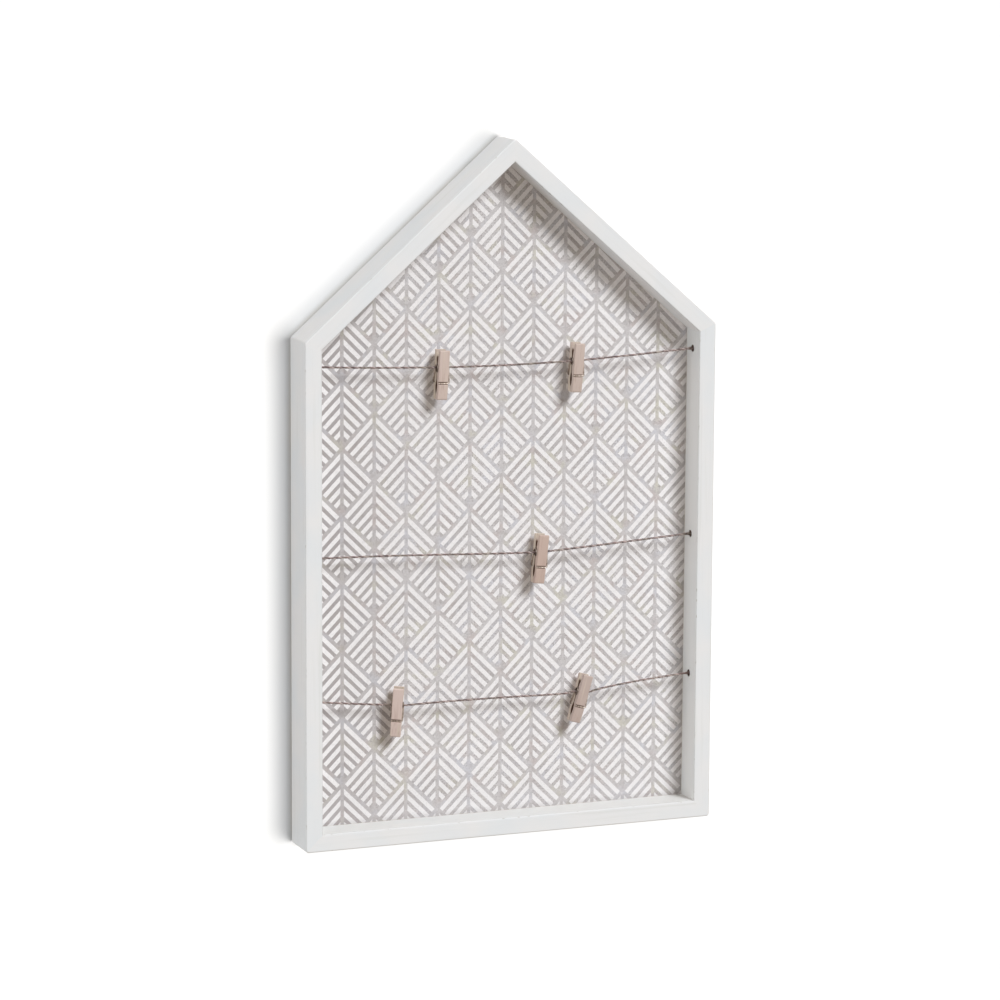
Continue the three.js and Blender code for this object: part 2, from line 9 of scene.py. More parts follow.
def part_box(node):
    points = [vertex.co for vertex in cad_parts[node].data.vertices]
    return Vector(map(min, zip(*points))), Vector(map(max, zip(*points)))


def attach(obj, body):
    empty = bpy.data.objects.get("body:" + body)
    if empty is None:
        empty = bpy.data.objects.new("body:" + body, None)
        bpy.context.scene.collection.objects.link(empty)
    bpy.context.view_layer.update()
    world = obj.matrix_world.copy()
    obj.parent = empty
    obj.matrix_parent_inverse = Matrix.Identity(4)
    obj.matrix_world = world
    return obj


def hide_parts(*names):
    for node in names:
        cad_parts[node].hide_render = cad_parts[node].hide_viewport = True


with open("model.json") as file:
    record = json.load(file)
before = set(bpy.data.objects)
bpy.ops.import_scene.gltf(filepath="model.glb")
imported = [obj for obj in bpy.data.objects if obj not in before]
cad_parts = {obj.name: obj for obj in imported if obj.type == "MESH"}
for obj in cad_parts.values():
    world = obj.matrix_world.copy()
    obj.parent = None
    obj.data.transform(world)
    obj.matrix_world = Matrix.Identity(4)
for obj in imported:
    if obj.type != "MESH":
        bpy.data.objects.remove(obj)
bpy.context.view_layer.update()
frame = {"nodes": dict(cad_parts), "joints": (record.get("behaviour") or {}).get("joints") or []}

# Lengths in metres and bare angles in degrees; +Z is up and the board faces -Y
MM = 0.001

# The house outline, with a sharp ridge, and its depths
rail_low, rail_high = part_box("bottom_rail")
HALF_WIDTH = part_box("right_side_rail")[1][0]
BOTTOM = rail_low[2]
RAIL_WIDTH = rail_high[2] - rail_low[2]
EAVE_HEIGHT = 350 * MM
RIDGE_HEIGHT = 482 * MM
EAVE = BOTTOM + EAVE_HEIGHT
RIDGE = BOTTOM + RIDGE_HEIGHT
FRONT = rail_low[1]
BACK = rail_high[1]
PANEL_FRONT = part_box("back_panel")[0][1]
PANEL_RIGHT = HALF_WIDTH - RAIL_WIDTH
PANEL_FOOT = BOTTOM + RAIL_WIDTH
CORNERS = [
    Vector((-HALF_WIDTH, BOTTOM)), Vector((HALF_WIDTH, BOTTOM)), Vector((HALF_WIDTH, EAVE)),
    Vector((0, RIDGE)), Vector((-HALF_WIDTH, EAVE)),
]
RAIL_NAMES = ["bottom_rail", "right_side_rail", "right_roof_rail", "left_roof_rail", "left_side_rail"]
REBATE_INSET = 7 * MM

# Twines: heights above the bottom, and routes as [x, back, up] in mm
TWINE_DIAMETER = 1.8 * MM
TWINE_Y = -18 * MM
TWINE_HOLE_RADIUS = 2.5 * MM
TWINE_HELD = 7.7 * MM
TWINE_MOUTH = HALF_WIDTH - RAIL_WIDTH
TWINE_END = TWINE_MOUTH + TWINE_HELD
TWINE_STRAIGHT = TWINE_MOUTH - TWINE_DIAMETER
TWINES = {
    "twine_upper": (331.5 * MM, [
        [-122, 0, -0.9], [-95, 0, -2.4], [-64, 0, -3.7], [-48, 0, -4.4], [-32, 0, -4.7], [0, 0, -5.1],
        [34, 0, -4.8], [51, 0, -4.4], [66, 0, -3.8], [98, 0, -2.3], [122, 0, -0.8],
    ]),
    "twine_middle": (201 * MM, [
        [-122, 0, -0.4], [-95, 0, -1.1], [-55, 0, -2.7], [-12, 0, -4.7], [12, 0, -5.6], [25, 0, -5.8],
        [38, 0, -5.4], [62, 0, -4.2], [92, 0, -2.5], [122, 0, -0.8],
    ]),
    "twine_lower": (101.5 * MM, [
        [-124, 0, -1.4], [-108, 0.3, -3.3], [-94, 1, -4.9], [-85, 1.4, -5.8], [-79.6, 0, -6.2],
        [-74.2, -1.4, -6.4], [-65, -1, -6.4], [-48, -0.2, -6.4], [-4, 0, -6.8], [30, 0, -7.5],
        [44, 0, -7.6], [51.6, 0, -6.7], [56.6, 0, -7.3], [61.6, 0, -7.9], [69, 0, -6.4],
        [90, 0, -3.7], [116, 0, -1.4],
    ]),
}
TWINE_STEP = 0.5 * MM
TWINE_PLIES = 3
TWINE_LAY = 6 * MM
TWINE_SEED = 11
PLY_FILL = 0.82
PLY_RADIUS = PLY_FILL * TWINE_DIAMETER / 2 / (1 + 2 / math.sqrt(3))
PLY_SIDES = 8
PLY_SEED = 7
PLY_UNEVEN = 0.14
PLY_UNEVEN_LENGTH = 6 * MM

# Loose fibres along a twine, and the frayed tuft where it leaves each hole
FIBRE_COUNT = 170
FIBRE_RADIUS = 0.035 * MM
FIBRE_START = 0.42 * TWINE_DIAMETER
FIBRE_REACH = (0.5 * MM, 1.5 * MM)
FIBRE_LENGTH = (1.5 * MM, 5 * MM)
FIBRE_CURL = 1 * MM
FIBRE_TAPER = 0.7
FIBRE_POINTS = 5
FIBRE_SIDES = 3
FIBRE_END_GAP = 3
TUFT_COUNT = 30
TUFT_RADIUS = 0.1 * MM
TUFT_TAPER = 0.5
TUFT_SPREAD = (0.6 * MM, 2.1 * MM)
TUFT_REACH = (3 * MM, 9 * MM)
TUFT_DEPTH = 1 * MM

# Pegs: the outline of a half as [out from the middle plane, up from the coil's centre]
PEG_COUNT = 5
PEG_JAW = 21.4 * MM
PEG_HANDLE = 12.4 * MM
PEG_WIDTH = 7 * MM
PEG_HALF_THICKNESS = 4.6 * MM
PEG_HANDLE_SPREAD = 0.6 * MM
PEG_HANDLE_ROUND = 0.7 * MM
PEG_HANDLE_SLOPE = math.radians(13)
PEG_FACE = 0.15 * MM
PEG_WAIST = 0.6 * MM
PEG_TIP_THICKNESS = 3.9 * MM
PEG_TIP_TAPER = 9 * MM
PEG_TIP_CHAMFER = 0.5 * MM
PEG_TIP_CONTACT = 3.8 * MM
PEG_HOLLOW_LENGTH = 9.5 * MM
PEG_HOLLOW_DEPTH = 1.7 * MM
PEG_BAR_GROOVE = 1.05 * MM
PEG_BAR_PLAY = 0.3 * MM
PEG_COIL_GROOVE = 2.9 * MM
PEG_EDGE = 0.22 * MM
PEG_EDGE_STEPS = 3
PEG_EDGE_ANGLE = 40
PEG_ARC_STEPS = 10

# Peg springs: a coil round the twine, with an arm down each side to a bar across each half
WIRE_RADIUS = 0.45 * MM
WIRE_SIDES = 12
COIL_RADIUS = 2.15 * MM
COIL_TURNS = 4
COIL_STEPS = 28
ARM_X = 4.25 * MM
BAR_OUT = PEG_HALF_THICKNESS - WIRE_RADIUS
BAR_DROP = 10 * MM
BAR_END = 3.7 * MM
BAR_BEND = 1.1 * MM
BEND_STEPS = 6
COIL_HELD_BACK = math.radians(40)
ARM_OVERLAP = math.radians(100)
OVERLAP_SHARE = 0.6
OVERLAP_SHRINK = 0.96

# Meshes: the bend at which an edge is shaded sharp, and the climb at which a line counts as steep
SHARP_ANGLE = 42
STEEP = 0.9

# Print: diamonds of five white bars each side of a rib
PRINT_X = -0.13 * MM
PRINT_Z = BOTTOM + 225.6 * MM
PRINT_SPACING = 23.23 * MM
PRINT_PERIOD = 46.65 * MM
PRINT_BAR_PITCH = 5.45 * MM
PRINT_BAR = 3.0 * MM
PRINT_BARS = 5
PRINT_RIB = 1.26 * MM
PRINT_MARGIN = 2.6 * MM
PRINT_SKEW = 0.0043
PRINT_BLEED = 0.13 * MM
PRINT_WOBBLE = 0.45 * MM

# Camera, at the photograph's viewing angle
CAMERA_PLACE = Vector((-1.0983, -2.7695, 0.2991))
CAMERA_AZIMUTH = -21.67
CAMERA_ELEVATION = 10.02
CAMERA_ROLL = 0.31
CAMERA_LENS = 158.04
CAMERA_SENSOR = 36

# Studio light: levels are what white paper facing a lamp would show
AMBIENT = 0.3
AMBIENT_COLOUR = (1.11, 1, 0.885)
KEY_WAY = Vector((0.42, -1, 0.85))
KEY_SPREAD = 21
KEY_LEVEL = 0.83
KEY_COLOUR = (0.945, 1, 1.06)
SIDE_WAY = Vector((-1, -0.08, 0.1))
SIDE_SPREAD = 35
SIDE_LEVEL = 0.41
SIDE_COLOUR = (0.914, 1, 1.09)
REAR_WAY = Vector((0.25, 1, 0.05))
REAR_SPREAD = 20
REAR_LEVEL = 0.62
WASH_WAY = Vector((0.345, -1, -0.12))
WASH_SPREAD = 36
WASH_LEVEL = 0.54
WASH_SIDE_LEVEL = 0.36
WASH_COLOUR = (1.08, 1, 0.915)
FLOOR_WAY = Vector((0, 0, 1))
FLOOR_SPREAD = 8
FLOOR_LEVEL = 0.9
PLAIN = (1, 1, 1)

# The stage: a wall with a painted contact shadow close to the board, a cove and a floor
WALL_Y = 1.9 * MM
WALL_REACH = 4
WALL_COLOUR = (0.84, 0.9, 0.97)
WALL_SHADE_COLOUR = (0.23, 0.25, 0.27)
WALL_SHADE_REACH = 4.5 * MM
WALL_SHADE_SAMPLES = 8
FLOOR_DROP = 1.2
COVE_RADIUS = 0.3
COVE_STEPS = 12

# Shader nodes: the mix node has its own sockets for each kind of value
MIX_COLOUR_INPUTS = (0, 6, 7)
MIX_COLOUR_RESULT = 2
MIX_VECTOR_INPUTS = (0, 4, 5)
MIX_VECTOR_RESULT = 1
SOFT_EDGE_SAMPLES = 6


def srgb(red, green, blue):
    """A colour as it looks on a screen, 0 to 255, as the linear one that shaders take"""
    linear = []
    for value in (red, green, blue):
        part = value / 255
        linear.append(part / 12.92 if part <= 0.04045 else ((part + 0.055) / 1.055) ** 2.4)
    return (*linear, 1.0)


class Field:
    """A socket of a shader tree with arithmetic, so that a finish is written as a formula"""

    def __init__(self, surface, socket):
        self.surface = surface
        self.socket = socket

    def calc(self, operation, *others):
        node = self.surface.node("ShaderNodeMath", operation=operation)
        for slot, value in zip(node.inputs, (self, *others)):
            self.surface.put(slot, value)
        return Field(self.surface, node.outputs[0])

    def __add__(self, other):
        return self.calc("ADD", other)

    def __sub__(self, other):
        return self.calc("SUBTRACT", other)

    def __mul__(self, other):
        return self.calc("MULTIPLY", other)

    def __truediv__(self, other):
        return self.calc("DIVIDE", other)

    def ramp(self, low, high, strength=1.0):
        """0 at low, the strength at high and smooth between them"""
        node = self.surface.node("ShaderNodeMapRange", interpolation_type="SMOOTHSTEP")
        for slot, value in zip(node.inputs, (self, low, high, 0.0, strength)):
            self.surface.put(slot, value)
        return Field(self.surface, node.outputs[0])


class Surface:
    """A new material, its shader, and the nodes that the finishes here are made of"""

    def __init__(self, name):
        self.material = bpy.data.materials.new(name)
        self.material.use_nodes = True
        self.tree = self.material.node_tree
        self.shader = self.tree.nodes["Principled BSDF"]
        places = self.node("ShaderNodeTexCoord").outputs
        self.x, self.y, self.z = self.parts(places["Object"])
        self.along, self.round, _ = self.parts(places["UV"])

    def node(self, kind, **settings):
        node = self.tree.nodes.new(kind)
        for key, value in settings.items():
            setattr(node, key, value)
        return node

    def put(self, slot, value):
        if isinstance(value, Field):
            self.tree.links.new(value.socket, slot)
        else:
            slot.default_value = value

    def parts(self, socket):
        split = self.node("ShaderNodeSeparateXYZ")
        self.tree.links.new(socket, split.inputs[0])
        return [Field(self, part) for part in split.outputs]

    def noise(self, first, second, third, detail=2.0):
        """Soft noise with features about one unit wide"""
        place = self.node("ShaderNodeCombineXYZ")
        for slot, value in zip(place.inputs, (first, second, third)):
            self.put(slot, value)
        cloud = self.node("ShaderNodeTexNoise")
        cloud.inputs["Scale"].default_value = 1
        cloud.inputs["Detail"].default_value = detail
        self.tree.links.new(place.outputs[0], cloud.inputs["Vector"])
        return Field(self, cloud.outputs[0])

    def mix(self, share, first, second):
        """The first colour, turning into the second as the share goes to 1"""
        node = self.node("ShaderNodeMix", data_type="RGBA")
        for number, value in zip(MIX_COLOUR_INPUTS, (share, first, second)):
            self.put(node.inputs[number], value)
        return Field(self, node.outputs[MIX_COLOUR_RESULT])

    def layers(self, colour, *coats):
        """A colour with coats over it, each one a share and a colour"""
        for share, coat in coats:
            colour = self.mix(share, colour, coat)
        return colour

    def soft_normal(self, radius, share=1.0):
        """The normal with its edges rounded, as far as the share says"""
        soft = self.node("ShaderNodeBevel", samples=SOFT_EDGE_SAMPLES)
        soft.inputs["Radius"].default_value = radius
        plain = self.node("ShaderNodeNewGeometry").outputs["Normal"]
        node = self.node("ShaderNodeMix", data_type="VECTOR")
        values = (share, Field(self, plain), Field(self, soft.outputs[0]))
        for number, value in zip(MIX_VECTOR_INPUTS, values):
            self.put(node.inputs[number], value)
        return Field(self, node.outputs[MIX_VECTOR_RESULT])

    def bump(self, height, distance, normal=None):
        node = self.node("ShaderNodeBump")
        node.inputs["Distance"].default_value = distance
        self.put(node.inputs["Height"], height)
        if normal:
            self.put(node.inputs["Normal"], normal)
        return Field(self, node.outputs[0])

    def finish(self, **sockets):
        for name, value in sockets.items():
            self.put(self.shader.inputs[name.replace("_", " ").title()], value)
        return self.material


# White brushed paint over pine, bare at the back, with painted shade on its front edges, on its upward
# and sideways inner faces and in the twine holes
PAINT_COOL = srgb(229, 230, 230)
PAINT_WARM = srgb(234, 232, 230)
PAINT_THIN_AND_SHADE = srgb(219, 218, 213)
PAINT_EDGE_SHADE = srgb(206, 205, 203)
PAINT_WORN = srgb(176, 168, 156)
PINE_LIGHT = srgb(214, 194, 160)
PINE_DARK = srgb(186, 156, 118)
HOLE_SHADE = srgb(104, 82, 70)

# Paint noise as (length along the rail, width, detail)
PAINT_STROKES = (60 * MM, 1.1 * MM, 3)
PAINT_GRAIN = (90 * MM, 2.8 * MM, 4)
PAINT_CLOUDS = (38 * MM, 38 * MM, 2)
PAINT_CHIPS = (5 * MM, 2.5 * MM, 4)

# Paint coats as (noise at which they start, noise at which they are full, strength)
WARM_CLOUDS = (0.35, 0.65)
THIN_STREAKS = (0.55, 0.75, 0.4)
WORN_CHIPS = (0.58, 0.68)
DARK_GRAIN = (0.35, 0.65)
EDGE_SHADE_STRENGTH = 0.9
INNER_SHADE_STRENGTH = 0.5
FACING_DOWN = -0.5

# Where the paint and its coats begin and end
EDGE_WEAR_AND_SHADE_REACH = 0.9 * MM
INNER_FACE = (RAIL_WIDTH - 0.1 * MM, RAIL_WIDTH - 0.02 * MM)
BACK_FACE = (BACK - 0.15 * MM, BACK - 0.05 * MM)
OVERSPILL = 3 * MM
OVERSPILL_FADE = 0.4 * MM
REBATE_SIDE = (REBATE_INSET - 0.2 * MM, REBATE_INSET - 0.1 * MM)
REBATE_FLOOR = (PANEL_FRONT - 0.2 * MM, PANEL_FRONT - 0.1 * MM)
HOLE_WALL = (TWINE_HOLE_RADIUS + 0.2 * MM, TWINE_HOLE_RADIUS + 0.05 * MM)
HOLE_MOUTH = (RAIL_WIDTH - 0.1 * MM, RAIL_WIDTH - 0.4 * MM)
HOLE_FLOOR = (2 * MM, 3 * MM)
MITRE_FILL = 0.8 * MM
PAINT_EDGE = 0.45 * MM
PAINT_RELIEF = 0.04 * MM
GRAIN_RELIEF = 0.6
PAINT_ROUGH = 0.42
STROKE_ROUGH = 0.25


def paint(rail, start, end, slants):
    """A rail's finish; the slants are how far each mitre runs on for each step in from the outside"""
    s = Surface(f"{rail}_paint")
    way = (end - start).normalized()
    length = s.x * way.x + s.z * way.y - start.dot(way)
    inset = s.z * way.x - s.x * way.y - (start.y * way.x - start.x * way.y)

    def along_rail(long, wide, detail):
        return s.noise(length / long, inset / wide, s.y / wide, detail)

    strokes = along_rail(*PAINT_STROKES)
    grain = along_rail(*PAINT_GRAIN)
    clouds = along_rail(*PAINT_CLOUDS)
    chips = along_rail(*PAINT_CHIPS)
    from_start = length - inset * slants[0]
    from_end = length * -1 + (end - start).length - inset * slants[1]
    from_mitre = from_start.calc("MINIMUM", from_end)
    normal = s.soft_normal(PAINT_EDGE, from_mitre.ramp(MITRE_FILL / 2, MITRE_FILL))

    at_edge = inset.ramp(EDGE_WEAR_AND_SHADE_REACH, 0.0) + inset.ramp(RAIL_WIDTH - EDGE_WEAR_AND_SHADE_REACH, RAIL_WIDTH)
    at_edge = at_edge * s.y.ramp(FRONT + EDGE_WEAR_AND_SHADE_REACH, FRONT)
    # The front edges get painted shade that tones down the bright line their rounding catches, with
    # chips of real wear on top
    colour = s.layers(
        PAINT_COOL,
        (clouds.ramp(*WARM_CLOUDS), PAINT_WARM),
        (grain.ramp(*THIN_STREAKS), PAINT_THIN_AND_SHADE),
        (at_edge * EDGE_SHADE_STRENGTH, PAINT_EDGE_SHADE),
        (at_edge * chips.ramp(*WORN_CHIPS), PAINT_WORN),
    )
    # Painted shade: the inner faces of the bottom and side rails are darkened towards the thin paint
    # tone
    if way.x > FACING_DOWN:
        colour = s.mix(inset.ramp(*INNER_FACE, INNER_SHADE_STRENGTH), colour, PAINT_THIN_AND_SHADE)

    wood = s.mix(grain.ramp(*DARK_GRAIN), PINE_LIGHT, PINE_DARK)
    overspill = (strokes * OVERSPILL).calc("MINIMUM", RAIL_WIDTH)
    bare = s.y.ramp(*BACK_FACE) * (inset - overspill).ramp(0.0, OVERSPILL_FADE)
    in_rebate = inset.ramp(*REBATE_SIDE) * s.y.ramp(*REBATE_FLOOR)
    colour = s.mix(bare.calc("MAXIMUM", in_rebate), colour, wood)

    nearest = None
    for height, _ in TWINES.values():
        across = s.y - TWINE_Y
        up = s.z - (BOTTOM + height)
        away = (across * across + up * up).calc("SQRT")
        nearest = nearest.calc("MINIMUM", away) if nearest else away
    # Painted shade inside the twine holes
    hole = nearest.ramp(*HOLE_WALL) * inset.ramp(*HOLE_MOUTH) * inset.ramp(*HOLE_FLOOR)
    colour = s.mix(hole, colour, HOLE_SHADE)

    relief = s.bump(strokes + grain * GRAIN_RELIEF, PAINT_RELIEF, normal)
    return s.finish(base_color=colour, roughness=strokes * STROKE_ROUGH + PAINT_ROUGH, normal=relief)


# Printed paper on hardboard
PRINT_WHITE = srgb(246, 242, 241)
PRINT_GREY = srgb(234, 230, 230)
PRINT_TAUPE = srgb(204, 199, 198)
PRINT_ROSY = srgb(199, 188, 185)
PRINT_COOL = srgb(206, 204, 208)
PRINT_CREAM = srgb(206, 201, 189)
PRINT_DARK = srgb(160, 152, 150)
PRINT_PALE = srgb(224, 220, 219)
PRINT_CREASE_SHADE = srgb(112, 106, 103)
HARDBOARD_LIGHT = srgb(168, 138, 105)
HARDBOARD_DARK = srgb(134, 105, 77)

# Print noise as (size, layer, detail, shift)
WOBBLE = (1.5 * MM, 9.0, 2)
TINT = (16 * MM, 0.0, 2)
OTHER_TINT = (16 * MM, 3.0, 2, 40)
BLOTCHES = (4.5 * MM, 5.0, 3)
CHALK = (1.7 * MM, 7.0, 3)
SPECKS = (1.0 * MM, 0.0, 1)
PATCHES = (34 * MM, 1.0, 1)

# Print coats as (noise at which they start, noise at which they are full, strength)
INK_ROSY = (0.48, 0.68)
INK_COOL = (0.5, 0.68)
INK_CREAM = (0.45, 0.3)
INK_CHALK = (0.5, 0.72, 0.6)
INK_PALE_SPECKS = (0.47, 0.34, 0.6)
INK_BLOTCHES = (0.45, 0.75, 0.4)
INK_PATCHES = (0.4, 0.66, 0.3)
INK_DARK_SPECKS = (0.51, 0.65, 0.75)
WHITE_BLOTCHES = (0.4, 0.7, 0.5)
WHITE_CHALK = (0.5, 0.28, 0.4)
WHITE_SPECKS = (0.52, 0.7, 0.4)
GRIT_OUTSIDE = 0.35

# Places where the print gets painted shade: its left side, its foot, and the creases at the right and
# below
PRINT_LEFT = (-60 * MM, -135 * MM)
LEFT_SHADE = 0.4
LEFT_SHADE_BETWEEN_BARS = 0.35
PRINT_FOOT = (BOTTOM + 55 * MM, BOTTOM + 12 * MM)
FOOT_INK = 0.3
FOOT_WHITE = 0.8
CREASE_REACH = 5 * MM
CREASE_SHADE_STRENGTH = 0.25

# Hardboard fibres behind the paper
BEHIND_PAPER = (PANEL_FRONT + 0.15 * MM, PANEL_FRONT + 0.25 * MM)
PRESSED_WIDTH = 0.8 * MM
PRESSED_LENGTH = 3.2 * MM
PRESSED_DETAIL = 6
PRESSED_SHARE = 0.4
PRESSED_TONES = (0.36, 0.64)
BOARD_CLOUD = 30 * MM
BOARD_CLOUD_DETAIL = 3
BOARD_CLOUD_SHARE = 0.2
PAPER_RELIEF = 0.02 * MM
PAPER_ROUGH = 0.55
SPECK_ROUGH = 0.15


def print_parts(s, wobble):
    """Where the print's bars are, and where the ground between the bars of a diamond is"""
    across = (s.x - PRINT_X) / PRINT_SPACING
    up = (s.z - s.x * PRINT_SKEW - PRINT_Z) / (PRINT_PERIOD / 2)
    first = (across + up) / 2
    second = (up - across) / 2
    first = first - first.calc("ROUND")
    second = second - second.calc("ROUND")
    side = math.hypot(PRINT_SPACING, PRINT_PERIOD / 2)
    depth = (first.calc("MAXIMUM", second) * -1 + 0.5) * side + (wobble - 0.5) * PRINT_WOBBLE
    end = (first.calc("MINIMUM", second) + 0.5) * side
    from_rib = (first - second).calc("ABSOLUTE") * PRINT_SPACING
    in_bar = depth.calc("FLOORED_MODULO", PRINT_BAR_PITCH)
    last_bar = PRINT_BARS * PRINT_BAR_PITCH
    inside = depth.ramp(last_bar, last_bar - PRINT_BLEED)
    inside = inside * from_rib.ramp(PRINT_RIB - PRINT_BLEED, PRINT_RIB + PRINT_BLEED)
    inside = inside * end.ramp(PRINT_MARGIN - PRINT_BLEED, PRINT_MARGIN + PRINT_BLEED)
    bars = in_bar.ramp(-PRINT_BLEED, PRINT_BLEED)
    bars = bars * in_bar.ramp(PRINT_BAR + PRINT_BLEED, PRINT_BAR - PRINT_BLEED) * inside
    return bars, inside


def printed_board(name):
    s = Surface(name)

    def on_paper(size, layer, detail, shift=0):
        return s.noise(s.x / size + shift, s.z / size, layer, detail)

    bars, inside = print_parts(s, on_paper(*WOBBLE))
    tint = on_paper(*TINT)
    other_tint = on_paper(*OTHER_TINT)
    blotch = on_paper(*BLOTCHES)
    chalk = on_paper(*CHALK)
    specks = on_paper(*SPECKS)
    patch = on_paper(*PATCHES)
    # Painted shade towards the print's left side
    left_shade = s.x.ramp(*PRINT_LEFT)
    # Painted shade towards the print's foot
    foot_shade = s.z.ramp(*PRINT_FOOT)
    grit = inside * (1 - GRIT_OUTSIDE) + GRIT_OUTSIDE
    ink = s.layers(
        PRINT_TAUPE,
        (tint.ramp(*INK_ROSY), PRINT_ROSY),
        (other_tint.ramp(*INK_COOL), PRINT_COOL),
        (other_tint.ramp(*INK_CREAM), PRINT_CREAM),
        (chalk.ramp(*INK_CHALK), PRINT_PALE),
        (specks.ramp(*INK_PALE_SPECKS) * grit, PRINT_PALE),
        (blotch.ramp(*INK_BLOTCHES), PRINT_DARK),
        (patch.ramp(*INK_PATCHES) * inside, PRINT_DARK),
        (left_shade * (inside * LEFT_SHADE_BETWEEN_BARS + LEFT_SHADE), PRINT_DARK),
        (foot_shade * FOOT_INK, PRINT_DARK),
        (specks.ramp(*INK_DARK_SPECKS) * grit, PRINT_DARK),
    )
    white = s.layers(
        PRINT_WHITE,
        (blotch.ramp(*WHITE_BLOTCHES), PRINT_GREY),
        (chalk.ramp(*WHITE_CHALK), PRINT_PALE),
        (foot_shade * FOOT_WHITE, PRINT_PALE),
        (specks.ramp(*WHITE_SPECKS), PRINT_TAUPE),
    )
    # Painted shade in the creases along the panel's right and bottom edges
    crease_shade = s.x.ramp(PANEL_RIGHT - CREASE_REACH, PANEL_RIGHT)
    crease_shade = crease_shade.calc("MAXIMUM", s.z.ramp(PANEL_FOOT + CREASE_REACH, PANEL_FOOT))
    picture = s.layers(ink, (bars, white), (crease_shade * CREASE_SHADE_STRENGTH, PRINT_CREASE_SHADE))

    pressed = s.noise(s.x / PRESSED_LENGTH, s.y / PRESSED_WIDTH, s.z / PRESSED_WIDTH, PRESSED_DETAIL)
    crossed = s.noise(s.x / PRESSED_WIDTH, s.y / PRESSED_WIDTH, s.z / PRESSED_LENGTH, PRESSED_DETAIL)
    cloud = s.noise(s.x / BOARD_CLOUD, s.y / BOARD_CLOUD, s.z / BOARD_CLOUD, BOARD_CLOUD_DETAIL)
    fibres = (pressed + crossed) * PRESSED_SHARE + cloud * BOARD_CLOUD_SHARE
    board = s.mix(fibres.ramp(*PRESSED_TONES), HARDBOARD_LIGHT, HARDBOARD_DARK)
    colour = s.mix(s.y.ramp(*BEHIND_PAPER), picture, board)
    relief = s.bump(pressed, PAPER_RELIEF)
    return s.finish(base_color=colour, roughness=specks * SPECK_ROUGH + PAPER_ROUGH, normal=relief)


# Jute, with its coats as (noise at which they start, noise at which they are full, strength)
JUTE_TONES = (srgb(206, 188, 182), srgb(152, 127, 121), srgb(98, 80, 78))
JUTE_DARK = srgb(70, 56, 55)
JUTE_PALE = srgb(224, 212, 204)
JUTE_GREY = srgb(150, 145, 130)
JUTE_STRAND_WIDTH = 0.16 * MM
JUTE_STRAND_LENGTH = 3.5 * MM
JUTE_STRAND_DETAIL = 3
JUTE_FLECK = 1.6 * MM
JUTE_STRETCH = 9 * MM
JUTE_DARK_LAYER = 2.0
JUTE_GREY_LAYER = 8.0
JUTE_SEED_STEP = 10
PALE_STRANDS = (0.52, 0.78, 0.7)
DARK_STRANDS = (0.48, 0.28)
GREY_STRETCHES = (0.5, 0.68, 0.5)
DARK_STRETCHES = (0.5, 0.66, 0.55)
DARK_FLECKS = (0.54, 0.68, 0.7)
PALE_FLECKS = (0.44, 0.32, 0.5)
JUTE_RELIEF = 0.06 * MM
JUTE_ROUGH = 0.7
STRAND_ROUGH = 0.2


def jute(name, tone, seed):
    s = Surface(name)
    strand = s.noise(
        s.along / JUTE_STRAND_LENGTH, s.round / JUTE_STRAND_WIDTH, float(seed), JUTE_STRAND_DETAIL,
    )
    fleck = s.noise(s.x / JUTE_FLECK, s.y / JUTE_FLECK, s.z / JUTE_FLECK + seed)
    dark_stretch = s.noise(s.x / JUTE_STRETCH, JUTE_DARK_LAYER, s.z / JUTE_STRETCH)
    grey_stretch = s.noise(s.x / JUTE_STRETCH, JUTE_GREY_LAYER, s.z / JUTE_STRETCH)
    colour = s.layers(
        tone,
        (strand.ramp(*PALE_STRANDS), JUTE_PALE),
        (strand.ramp(*DARK_STRANDS), JUTE_DARK),
        (grey_stretch.ramp(*GREY_STRETCHES), JUTE_GREY),
        (dark_stretch.ramp(*DARK_STRETCHES), JUTE_DARK),
        (fleck.ramp(*DARK_FLECKS), JUTE_DARK),
        (fleck.ramp(*PALE_FLECKS), JUTE_PALE),
    )
    relief = s.bump(strand, JUTE_RELIEF)
    return s.finish(base_color=colour, roughness=strand * STRAND_ROUGH + JUTE_ROUGH, normal=relief)


# Peg wood, one tone for each peg, beige in its rings and with painted shade on its inside
PEG_TONES = (
    srgb(204, 184, 173), srgb(199, 180, 169), srgb(194, 170, 157), srgb(212, 191, 181),
    srgb(188, 169, 159),
)
PEG_BEIGE = srgb(207, 192, 174)
PEG_GRAIN = srgb(176, 150, 137)
PEG_INSIDE_SHADE = srgb(112, 84, 69)
PEG_SEED_STEP = 3.7
PEG_ROSINESS = {"back": 0.1, "front": 0.9}
BEIGE_RINGS = (0.3, 0.5)
BEIGE_SHIFT = 0.3
PEG_BEND_WIDTH = 4 * MM
PEG_BEND_LENGTH = 18 * MM
PEG_BEND = 1.2 * MM
PEG_RING_WIDTH = 2.6 * MM
PEG_RING_LENGTH = 78 * MM
PEG_LINE_WIDTH = 0.55 * MM
PEG_LINE_LENGTH = 26 * MM
PEG_LINE_DETAIL = 3
PEG_LINES = (0.5, 0.75, 0.6)
PEG_PORE_WIDTH = 0.16 * MM
PEG_PORE_LENGTH = 1.92 * MM
PEG_PORE_DETAIL = 1
PEG_PORES = (0.66, 0.8, 0.5)
OFF_SIDES = (PEG_WIDTH / 2 - 0.15 * MM, PEG_WIDTH / 2 - 0.3 * MM)
OFF_OUTSIDE = (PEG_COIL_GROOVE + 0.4 * MM, PEG_COIL_GROOVE + 0.1 * MM)
OFF_TIP = (-PEG_JAW + 0.2 * MM, -PEG_JAW + 0.5 * MM)
OFF_HANDLE = (8.5 * MM, 7 * MM)
HANDLE_INSIDE_SHADE = 0.25
PEG_SOFT_EDGE = 0.3 * MM
PEG_RELIEF = 0.04 * MM
PORE_RELIEF = 0.5
PEG_ROUGH = 0.5
LINE_ROUGH = 0.2


